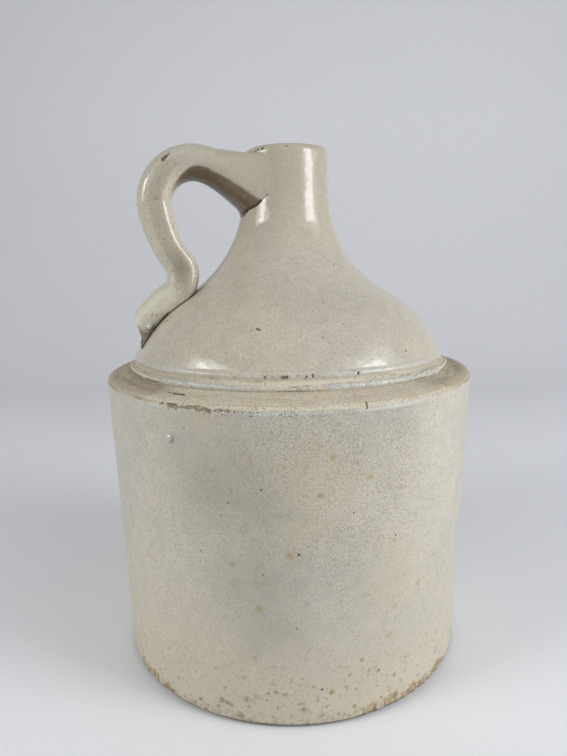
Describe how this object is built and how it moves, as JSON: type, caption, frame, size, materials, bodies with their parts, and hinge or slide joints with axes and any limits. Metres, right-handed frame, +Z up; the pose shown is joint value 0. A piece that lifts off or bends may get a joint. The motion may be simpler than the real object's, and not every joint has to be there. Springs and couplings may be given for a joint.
{
  "type": "stoneware shoulder jug",
  "caption": "Glazed stoneware shoulder jug: drafted round body, sloping ledge, luted domed shoulder, narrow cork mouth and strap handle. Holds and pours liquids.",
  "frame": {"origin": "centre of the base, on the surface that the jug stands on", "axes": "+Z up along the jug's axis, out of its mouth; the handle is at -X; the handle's plane is XZ"},
  "size_m": [0.1886, 0.1886, 0.2591],
  "materials": {
    "body_glaze": "satin grey-beige glaze with fine crazing and pinholes",
    "shoulder_glaze": "glossy putty-beige glaze with fine brown speckle",
    "handle_glaze": "glossy putty-beige glaze, greener where it runs thick",
    "slip": "pale slip under a thin glaze"
  },
  "bodies": {
    "root": {"crock_body": "body_glaze", "shoulder_dome": "shoulder_glaze", "shoulder_lute": "slip", "handle": "handle_glaze", "handle_neck_lute": "slip", "handle_tail_lute": "slip"}
  },
  "joints": []
}
